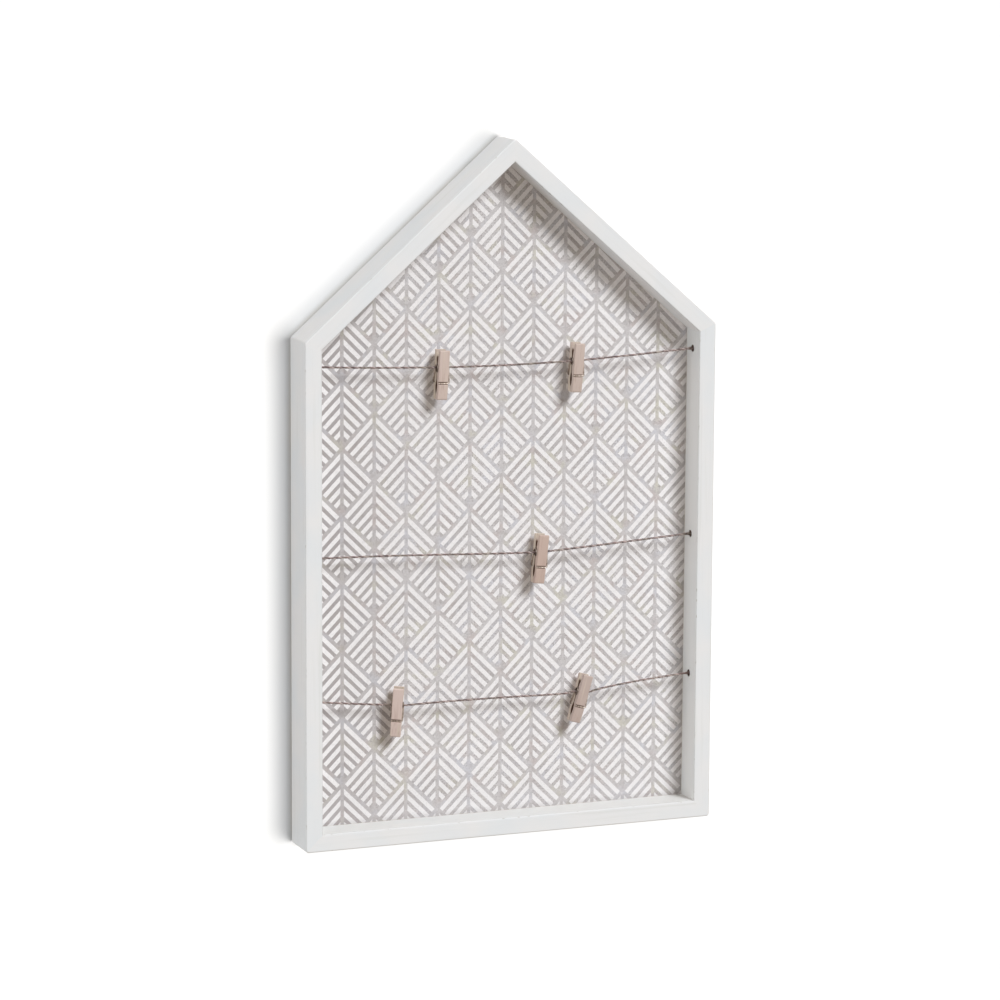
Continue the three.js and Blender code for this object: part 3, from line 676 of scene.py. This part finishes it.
def peg_wood(name, seed, tone, rosiness):
    s = Surface(name)
    bend = s.noise(s.x / PEG_BEND_WIDTH, s.y / PEG_BEND_WIDTH, s.z / PEG_BEND_LENGTH + seed)
    bent = s.x + bend * PEG_BEND
    rings = s.noise(bent / PEG_RING_WIDTH + seed, s.y / PEG_RING_WIDTH, s.z / PEG_RING_LENGTH)
    lines = s.noise(
        bent / PEG_LINE_WIDTH + seed, s.y / PEG_LINE_WIDTH, s.z / PEG_LINE_LENGTH, PEG_LINE_DETAIL,
    )
    pores = s.noise(
        s.x / PEG_PORE_WIDTH + seed, s.y / PEG_PORE_WIDTH, s.z / PEG_PORE_LENGTH, PEG_PORE_DETAIL,
    )
    # Painted shade on the inner faces between the halves, weaker up in the handles
    off_sides = s.x.calc("ABSOLUTE").ramp(*OFF_SIDES)
    off_outside = s.y.calc("ABSOLUTE").ramp(*OFF_OUTSIDE)
    deep = s.z.ramp(*OFF_HANDLE) * (1 - HANDLE_INSIDE_SHADE) + HANDLE_INSIDE_SHADE
    inside = off_sides * off_outside * s.z.ramp(*OFF_TIP) * deep
    colour = s.layers(
        tone,
        (rings.ramp(*(share + BEIGE_SHIFT * rosiness for share in BEIGE_RINGS)), PEG_BEIGE),
        (lines.ramp(*PEG_LINES), PEG_GRAIN),
        (pores.ramp(*PEG_PORES), PEG_GRAIN),
        (inside, PEG_INSIDE_SHADE),
    )
    relief = s.bump(lines + pores * PORE_RELIEF, PEG_RELIEF, s.soft_normal(PEG_SOFT_EDGE))
    return s.finish(base_color=colour, roughness=lines * LINE_ROUGH + PEG_ROUGH, normal=relief)


# Spring wire and zinc plate, with tarnish, rust spots and scuffs
STEEL_BRIGHT = srgb(172, 157, 145)
STEEL_DULL = srgb(110, 96, 86)
STEEL_TARNISH = 1.5 * MM
STEEL_ROUGH = 0.26
ZINC_BRIGHT = srgb(158, 161, 164)
ZINC_DULL = srgb(116, 120, 124)
ZINC_SPANGLE = 2.2 * MM
ZINC_ROUGH = 0.4
RUST = srgb(122, 92, 68)
TARNISH_DETAIL = 3
TARNISH = (0.4, 0.65)
RUST_SPOTS = (0.68, 0.8, 0.5)
TARNISH_ROUGH = 0.3
SCUFFS_ACROSS = 6
SCUFFS_UP = 2
METAL_RELIEF = 0.02 * MM


def metal(name, bright, dull, size, rough):
    s = Surface(name)
    s.shader.inputs["Metallic"].default_value = 1
    tarnish = s.noise(s.x / size, s.y / size, s.z / size, TARNISH_DETAIL)
    scuffs = s.noise(s.x / size * SCUFFS_ACROSS, s.y / size * SCUFFS_ACROSS, s.z / size * SCUFFS_UP)
    colour = s.layers(bright, (tarnish.ramp(*TARNISH), dull), (tarnish.ramp(*RUST_SPOTS), RUST))
    relief = s.bump(scuffs, METAL_RELIEF)
    return s.finish(base_color=colour, roughness=tarnish * TARNISH_ROUGH + rough, normal=relief)


def show(name, material, vertices, faces, places=None):
    """A new mesh object with one finish; places are the (along, round) of each face corner"""
    mesh = bpy.data.meshes.new(name)
    mesh.from_pydata(vertices, [], faces)
    if places:
        layer = mesh.uv_layers.new(name="UVMap")
        layer.data.foreach_set("uv", [number for place in places for number in place])
    mesh.materials.append(material)
    mesh.shade_smooth()
    mesh.set_sharp_from_angle(angle=math.radians(SHARP_ANGLE))
    piece = bpy.data.objects.new(name, mesh)
    bpy.context.scene.collection.objects.link(piece)
    return piece


def smooth_line(points, step):
    """A centripetal curve through the points, in steps of about the given length"""
    ends = [2 * points[0] - points[1], *points, 2 * points[-1] - points[-2]]
    line = []
    for a, b, c, d in zip(ends, ends[1:], ends[2:], ends[3:]):
        ab, bc, cd = (math.sqrt((end - start).length) for start, end in ((a, b), (b, c), (c, d)))
        leave = ((b - a) / ab - (c - a) / (ab + bc) + (c - b) / bc) * bc
        arrive = ((c - b) / bc - (d - b) / (bc + cd) + (d - c) / cd) * bc
        count = max(1, round((c - b).length / step))
        for k in range(count):
            t = k / count
            rise = t * t * (3 - 2 * t)
            line.append(b + leave * (t * (1 - t) ** 2) + (c - b) * rise + arrive * (t * t * (t - 1)))
    return [*line, points[-1]]


def frames_along(line):
    """For each point of a line: the distance to it, the way on, and two directions across"""
    frames = []
    across = Vector((0, 0, 1))
    gone = 0.0
    for k, point in enumerate(line):
        way = (line[min(k + 1, len(line) - 1)] - line[max(k - 1, 0)]).normalized()
        if k == 0 and abs(way.z) > STEEP:
            across = Vector((1, 0, 0))
        across = (across - way * across.dot(way)).normalized()
        gone += (point - line[max(k - 1, 0)]).length
        frames.append((gone, way, across, way.cross(across)))
    return frames


def tubes(lines, radii, sides):
    """Vertices, faces and corner places of closed tubes along lines, each with its radii"""
    vertices = []
    faces = []
    places = []
    for line, line_radii in zip(lines, radii):
        first = len(vertices)
        frames = frames_along(line)
        for point, radius, (_, _, across, third) in zip(line, line_radii, frames):
            for side in range(sides):
                angle = 2 * math.pi * side / sides
                out = across * math.cos(angle) + third * math.sin(angle)
                vertices.append(point + out * radius)
        for k in range(len(line) - 1):
            turn = 2 * math.pi * line_radii[k] / sides
            for side in range(sides):
                following = (side + 1) % sides
                near, far = first + k * sides, first + (k + 1) * sides
                faces.append((near + side, near + following, far + following, far + side))
                start, end = frames[k][0], frames[k + 1][0]
                places += [(start, turn * side), (start, turn * (side + 1))]
                places += [(end, turn * (side + 1)), (end, turn * side)]
        last = first + (len(line) - 1) * sides
        faces.append(tuple(first + side for side in reversed(range(sides))))
        faces.append(tuple(last + side for side in range(sides)))
        places += [(0.0, 0.0)] * sides + [(frames[-1][0], 0.0)] * sides
    return vertices, faces, places


def twine_line(height, route):
    ends = [TWINE_END, TWINE_MOUTH, TWINE_STRAIGHT]
    points = [Vector((-x, TWINE_Y, BOTTOM + height)) for x in ends]
    points += [Vector((x * MM, TWINE_Y + back * MM, BOTTOM + height + up * MM)) for x, back, up in route]
    points += [Vector((x, TWINE_Y, BOTTOM + height)) for x in reversed(ends)]
    return smooth_line(points, TWINE_STEP)


def twisted_plies(line, frames, number):
    """The lines of a twine's plies, and their uneven radii"""
    middle = PLY_RADIUS * 2 / math.sqrt(3)
    plies = []
    radii = []
    for ply in range(TWINE_PLIES):
        ply_line = []
        ply_radii = []
        for point, (gone, _, across, third) in zip(line, frames):
            angle = 2 * math.pi * (gone / TWINE_LAY + ply / TWINE_PLIES)
            place = Vector((gone / PLY_UNEVEN_LENGTH, PLY_SEED * ply, TWINE_SEED * number))
            uneven = 1 + PLY_UNEVEN * noise.noise(place)
            out = across * math.cos(angle) + third * math.sin(angle)
            ply_line.append(point + out * (middle * uneven))
            ply_radii.append(PLY_RADIUS * uneven)
        plies.append(ply_line)
        radii.append(ply_radii)
    return plies, radii


def loose_fibres(line, frames, chance):
    """Fibres that stand off a twine all along it"""
    hairs = []
    for _ in range(FIBRE_COUNT):
        k = chance.randrange(FIBRE_END_GAP, len(line) - FIBRE_END_GAP)
        _, way, across, third = frames[k]
        angle = chance.uniform(0, 2 * math.pi)
        out = across * math.cos(angle) + third * math.sin(angle)
        run = way * chance.choice((-1, 1)) * chance.uniform(*FIBRE_LENGTH)
        lift = chance.uniform(*FIBRE_REACH)
        curl = way.cross(out) * chance.uniform(-1, 1) * FIBRE_CURL
        hair = []
        for j in range(FIBRE_POINTS):
            t = j / (FIBRE_POINTS - 1)
            hair.append(line[k] + out * (FIBRE_START + lift * t * t) + run * t + curl * t * t)
        hairs.append(hair)
    return hairs


def frayed_ends(line, chance):
    """Fibres that spread from a twine to the rim of the hole at each end"""
    hairs = []
    first = round((TWINE_HELD - TUFT_DEPTH) / TWINE_STEP)
    for points in (line, line[::-1]):
        for _ in range(TUFT_COUNT):
            angle = chance.uniform(0, 2 * math.pi)
            out = Vector((0, math.cos(angle), math.sin(angle)))
            spread = chance.uniform(*TUFT_SPREAD)
            reach = (TUFT_DEPTH + chance.uniform(*TUFT_REACH)) / TWINE_STEP
            hair = []
            for j in range(FIBRE_POINTS):
                t = j / (FIBRE_POINTS - 1)
                lift = FIBRE_START * t + spread * (1 - t) ** 2
                hair.append(points[first + round(reach * t)] + out * lift)
            hairs.append(hair)
    return hairs


def tapered(radius, taper):
    """A fibre's radii, less towards its end"""
    return [radius * (1 - taper * j / (FIBRE_POINTS - 1)) for j in range(FIBRE_POINTS)]


def add_twine(name, number, height, route):
    """Three twisted plies, with loose fibres standing off them and frayed ends"""
    line = twine_line(height, route)
    frames = frames_along(line)
    finishes = []
    for k, tone in enumerate(JUTE_TONES):
        finishes.append(jute(f"{name}_ply_{k + 1}", tone, JUTE_SEED_STEP * number + k))
    plies, radii = twisted_plies(line, frames, number)
    twine = show(f"{name}_plies", finishes[0], *tubes(plies, radii, PLY_SIDES))
    for finish in finishes[1:]:
        twine.data.materials.append(finish)
    faces_per_ply = len(twine.data.polygons) // TWINE_PLIES
    for face in twine.data.polygons:
        face.material_index = face.index // faces_per_ply

    chance = random.Random(number)
    loose = loose_fibres(line, frames, chance)
    frayed = frayed_ends(line, chance)
    hair_radii = [tapered(FIBRE_RADIUS, FIBRE_TAPER)] * len(loose)
    hair_radii += [tapered(TUFT_RADIUS, TUFT_TAPER)] * len(frayed)
    fibres = show(f"{name}_fibres", finishes[1], *tubes(loose + frayed, hair_radii, FIBRE_SIDES))

    for piece in (twine, fibres):
        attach(piece, "board")
    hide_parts(name)


def arc(centre, radius, start, end, steps):
    points = []
    for k in range(steps + 1):
        angle = start + (end - start) * k / steps
        points.append((centre[0] + radius * math.cos(angle), centre[1] + radius * math.sin(angle)))
    return points


def peg_outline():
    """Round a half from the jaw's tip, up the outside, over the handle and down the inside"""
    handle_face = PEG_FACE + PEG_HANDLE * math.tan(PEG_HANDLE_SLOPE)
    groove_top = math.acos(PEG_FACE * math.cos(PEG_HANDLE_SLOPE) / PEG_COIL_GROOVE) - PEG_HANDLE_SLOPE
    groove_bottom = -math.acos(PEG_WAIST / PEG_COIL_GROOVE)
    hollow_bottom = -PEG_JAW + PEG_TIP_CONTACT
    hollow_pull = 2 * PEG_HOLLOW_DEPTH - (PEG_WAIST + PEG_FACE) / 2
    outline = [
        (PEG_FACE, -PEG_JAW), (PEG_TIP_THICKNESS - PEG_TIP_CHAMFER, -PEG_JAW),
        (PEG_TIP_THICKNESS, -PEG_JAW + PEG_TIP_CHAMFER), (PEG_HALF_THICKNESS, -PEG_JAW + PEG_TIP_TAPER),
    ]
    bar = (BAR_OUT + PEG_BAR_PLAY, -BAR_DROP)
    mouth = math.acos((PEG_HALF_THICKNESS - bar[0]) / PEG_BAR_GROOVE)
    outline += arc(bar, PEG_BAR_GROOVE, -mouth, mouth - 2 * math.pi, PEG_ARC_STEPS)
    over = (PEG_HALF_THICKNESS + PEG_HANDLE_SPREAD - PEG_HANDLE_ROUND, PEG_HANDLE - PEG_HANDLE_ROUND)
    outline += arc(over, PEG_HANDLE_ROUND, 0, math.pi / 2, PEG_ARC_STEPS)
    outline.append((handle_face, PEG_HANDLE))
    outline += arc((0, 0), PEG_COIL_GROOVE, groove_top, groove_bottom, PEG_ARC_STEPS)
    for k in range(PEG_ARC_STEPS + 1):
        t = k / PEG_ARC_STEPS
        out = PEG_WAIST * (1 - t) ** 2 + hollow_pull * 2 * t * (1 - t) + PEG_FACE * t ** 2
        outline.append((out, hollow_bottom + PEG_HOLLOW_LENGTH * (1 - t)))
    return outline


def peg_half(name, material, side):
    """A half at the coil's centre; side is 1 for the back half and -1 for the front one"""
    outline = peg_outline()
    count = len(outline)
    ends = (-PEG_WIDTH / 2 * side, PEG_WIDTH / 2 * side)
    vertices = [(x, out * side, up) for x in ends for out, up in outline]
    faces = [tuple(reversed(range(count))), tuple(range(count, 2 * count))]
    for k in range(count):
        following = (k + 1) % count
        faces.append((k, following, count + following, count + k))
    half = show(name, material, vertices, faces)
    rounded = half.modifiers.new("rounded_edges", "BEVEL")
    rounded.width = PEG_EDGE
    rounded.segments = PEG_EDGE_STEPS
    rounded.limit_method = "ANGLE"
    rounded.angle_limit = math.radians(PEG_EDGE_ANGLE)
    rounded.use_clamp_overlap = False
    rounded.harden_normals = True
    return half


def spring_lines():
    """The front arm with its bar, the coil, and the back arm with its bar"""
    bar = Vector((BAR_OUT, BAR_DROP))
    leave = math.acos(COIL_RADIUS / bar.length) - math.atan2(bar.y, bar.x)
    sweep = 2 * math.pi * COIL_TURNS + math.pi - 2 * leave

    def on_coil(turned):
        x = ARM_X - 2 * ARM_X * turned / sweep
        angle = leave + turned
        return Vector((x, -COIL_RADIUS * math.cos(angle), COIL_RADIUS * math.sin(angle)))

    def along_coil(start, end):
        steps = math.ceil((end - start) / (2 * math.pi) * COIL_STEPS)
        return [on_coil(start + (end - start) * k / steps) for k in range(steps + 1)]

    corner = Vector((ARM_X, -BAR_OUT, -BAR_DROP))
    up = (on_coil(0) - corner).normalized()
    start, end = corner - Vector((BAR_BEND, 0, 0)), corner + up * BAR_BEND
    bend = []
    for k in range(BEND_STEPS + 1):
        t = k / BEND_STEPS
        bend.append(start * (1 - t) ** 2 + corner * (2 * t * (1 - t)) + end * t ** 2)
    front = [Vector((-BAR_END, -BAR_OUT, -BAR_DROP)), *bend, *along_coil(0, ARM_OVERLAP)]
    back = [Vector((-p.x, -p.y, p.z)) for p in front]
    return front, along_coil(COIL_HELD_BACK, sweep - COIL_HELD_BACK), back


def arm_radii(line):
    """A wire's radii, a little less where it lies in the coil's own wire"""
    overlap = math.ceil(ARM_OVERLAP / (2 * math.pi) * COIL_STEPS * OVERLAP_SHARE)
    return [WIRE_RADIUS] * (len(line) - overlap) + [WIRE_RADIUS * OVERLAP_SHRINK] * overlap


def add_peg(number, wire):
    """Two halves with an arm of the spring on each, and the coil, where the peg's swing joint is"""
    swing = next(joint for joint in frame["joints"] if joint["name"] == f"peg_{number}_swing")
    axis = Vector(swing["axis"])
    yaw = Matrix.Rotation(math.atan2(axis.y, axis.x), 4, "Z")
    place = Matrix.Translation(swing["pos_m"]) @ yaw @ Matrix.Rotation(-math.asin(axis.z), 4, "Y")

    front, coil, back = spring_lines()
    pieces = {}
    for end, side, line in (("back", 1, back), ("front", -1, front)):
        name = f"peg_{number}_{end}_wood"
        seed = PEG_SEED_STEP * number + side
        half = peg_half(name, peg_wood(name, seed, PEG_TONES[number - 1], PEG_ROSINESS[end]), side)
        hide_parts(f"peg_{number}_{end}_half")
        arm = show(f"peg_{number}_{end}_arm", wire, *tubes([line], [arm_radii(line)], WIRE_SIDES))
        pieces[half] = (f"peg_{number}_{end}", "peg_wood")
        pieces[arm] = (f"peg_{number}_{end}", "spring_wire")
    turns = show(f"peg_{number}_coil", wire, *tubes([coil], [[WIRE_RADIUS] * len(coil)], WIRE_SIDES))
    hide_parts(f"peg_{number}_spring")
    pieces[turns] = (f"peg_{number}_slider", "spring_wire")
    for piece, (body, slot) in pieces.items():
        piece.matrix_world = place
        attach(piece, body)


def dress(name, material):
    frame["nodes"][name].material_slots[0].material = material


def add_lamp(name, way, spread, level, colour):
    """A far soft lamp"""
    data = bpy.data.lights.new(name, "SUN")
    data.angle = math.radians(spread)
    data.energy = math.pi * level
    data.color = colour
    lamp = bpy.data.objects.new(name, data)
    lamp.matrix_world = way.to_track_quat("Z", "Y").to_matrix().to_4x4()
    bpy.context.scene.collection.objects.link(lamp)
    return lamp


def link_group(name, pieces, state):
    """A group for lamps that holds these pieces alone (INCLUDE), or everything but them (EXCLUDE)"""
    group = bpy.data.collections.new(name)
    for piece in pieces:
        group.objects.link(piece)
    for member in group.collection_objects:
        member.light_linking.link_state = state
    return group


def seen_plainly(tree):
    """1 for rays from the camera, a reflection or clear material, and 0 for rays that carry light"""
    path = tree.nodes.new("ShaderNodeLightPath").outputs
    seen = path["Is Camera Ray"]
    for other in ("Is Glossy Ray", "Is Transmission Ray"):
        either = tree.nodes.new("ShaderNodeMath")
        either.operation = "MAXIMUM"
        tree.links.new(seen, either.inputs[0])
        tree.links.new(path[other], either.inputs[1])
        seen = either.outputs[0]
    return seen


def add_stage():
    """A pale wall behind the board that curves into a floor, seen from its front only"""
    floor = BOTTOM - FLOOR_DROP
    profile = [(WALL_Y, WALL_REACH)]
    for k in range(COVE_STEPS + 1):
        angle = math.pi / 2 * k / COVE_STEPS
        y = WALL_Y - COVE_RADIUS * (1 - math.cos(angle))
        profile.append((y, floor + COVE_RADIUS * (1 - math.sin(angle))))
    profile.append((-WALL_REACH, floor))
    vertices = [(x, y, z) for y, z in profile for x in (-WALL_REACH, WALL_REACH)]
    faces = [(2 * k, 2 * k + 2, 2 * k + 3, 2 * k + 1) for k in range(len(profile) - 1)]

    s = Surface("stage")
    # Painted contact shadow: the wall's colour darkens where the board is near
    near = s.node("ShaderNodeAmbientOcclusion", samples=WALL_SHADE_SAMPLES)
    near.inputs["Distance"].default_value = WALL_SHADE_REACH
    open_wall = Field(s, near.outputs["AO"])
    pale = s.node("ShaderNodeBsdfDiffuse")
    s.put(pale.inputs["Color"], s.mix(open_wall, (*WALL_SHADE_COLOUR, 1), (*WALL_COLOUR, 1)))
    clear = s.node("ShaderNodeBsdfTransparent")
    one_sided = s.node("ShaderNodeMixShader")
    s.tree.links.new(s.node("ShaderNodeNewGeometry").outputs["Backfacing"], one_sided.inputs[0])
    s.tree.links.new(pale.outputs[0], one_sided.inputs[1])
    s.tree.links.new(clear.outputs[0], one_sided.inputs[2])
    s.tree.links.new(one_sided.outputs[0], s.tree.nodes["Material Output"].inputs["Surface"])
    s.tree.nodes.remove(s.shader)

    stage = show("stage_wall_and_floor", s.material, vertices, faces)
    stage.visible_shadow = False
    stage.visible_diffuse = False
    return stage


def add_world():
    """Even light all round, and plain white where the camera or a reflection sees past the stage"""
    world = bpy.data.worlds.new("studio")
    world.use_nodes = True
    tree = world.node_tree
    even = tree.nodes["Background"]
    even.inputs["Strength"].default_value = AMBIENT
    even.inputs["Color"].default_value = (*AMBIENT_COLOUR, 1)
    white = tree.nodes.new("ShaderNodeBackground")
    white.inputs["Color"].default_value = (*PLAIN, 1)
    choice = tree.nodes.new("ShaderNodeMixShader")
    tree.links.new(seen_plainly(tree), choice.inputs[0])
    tree.links.new(even.outputs[0], choice.inputs[1])
    tree.links.new(white.outputs[0], choice.inputs[2])
    tree.links.new(choice.outputs[0], tree.nodes["World Output"].inputs["Surface"])
    bpy.context.scene.world = world


def add_camera():
    azimuth, elevation, roll = (
        math.radians(angle) for angle in (CAMERA_AZIMUTH, CAMERA_ELEVATION, CAMERA_ROLL)
    )
    level = Vector((math.cos(azimuth), math.sin(azimuth), 0))
    back = Vector((level.y, -level.x, 0)) * math.cos(elevation) + Vector((0, 0, math.sin(elevation)))
    steep = back.cross(level)
    right = level * math.cos(roll) + steep * math.sin(roll)
    up = steep * math.cos(roll) - level * math.sin(roll)
    data = bpy.data.cameras.new("camera")
    data.lens = CAMERA_LENS
    data.sensor_width = CAMERA_SENSOR
    camera = bpy.data.objects.new("camera", data)
    axes = Matrix((right, up, back)).transposed().to_4x4()
    camera.matrix_world = Matrix.Translation(CAMERA_PLACE) @ axes
    bpy.context.scene.collection.objects.link(camera)
    bpy.context.scene.camera = camera


# The camera and the cords come first
add_camera()
for number, (name, (height, route)) in enumerate(TWINES.items(), 1):
    add_twine(name, number, height, route)

# Finishes of the rails and the panel, and the pegs
for k, name in enumerate(RAIL_NAMES):
    before, start, end, after = (CORNERS[(k + step) % len(CORNERS)] for step in (-1, 0, 1, 2))
    slants = [
        1 / math.tan((a - b).angle(c - b) / 2) for a, b, c in ((before, start, end), (start, end, after))
    ]
    dress(name, paint(name, start, end, slants))
dress("back_panel", printed_board("printed_board"))

wire = metal("spring_wire", STEEL_BRIGHT, STEEL_DULL, STEEL_TARNISH, STEEL_ROUGH)
for number in range(1, PEG_COUNT + 1):
    add_peg(number, wire)

zinc = metal("zinc_plate", ZINC_BRIGHT, ZINC_DULL, ZINC_SPANGLE, ZINC_ROUGH)
for name in frame["nodes"]:
    if name.endswith("_vnail") or name.startswith(("panel_point", "hanger_nail", "sawtooth")):
        dress(name, zinc)

# The stage and the light: three lamps for the object and three for the wall and floor
stage = add_stage()
stage_alone = link_group("stage_alone", [stage], "INCLUDE")
all_but_stage = link_group("all_but_stage", [stage], "EXCLUDE")
for name, way, spread, level, colour in (
    ("key", KEY_WAY, KEY_SPREAD, KEY_LEVEL, KEY_COLOUR),
    ("side_fill", SIDE_WAY, SIDE_SPREAD, SIDE_LEVEL, SIDE_COLOUR),
    ("rear_fill", REAR_WAY, REAR_SPREAD, REAR_LEVEL, PLAIN),
):
    add_lamp(name, way, spread, level, colour).light_linking.receiver_collection = all_but_stage
for name, level, shading_rails in (
    ("wall_wash", WASH_LEVEL, ["left_side_rail", "left_roof_rail"]),
    ("wall_side_wash", WASH_SIDE_LEVEL, ["left_side_rail"]),
):
    lamp = add_lamp(name, WASH_WAY, WASH_SPREAD, level, WASH_COLOUR)
    lamp.light_linking.receiver_collection = stage_alone
    rails = [frame["nodes"][rail] for rail in shading_rails]
    lamp.light_linking.blocker_collection = link_group(f"{name}_shade", rails, "INCLUDE")
floor_wash = add_lamp("floor_wash", FLOOR_WAY, FLOOR_SPREAD, FLOOR_LEVEL, WASH_COLOUR)
floor_wash.light_linking.receiver_collection = stage_alone
add_world()
bpy.context.scene.view_settings.view_transform = "Standard"
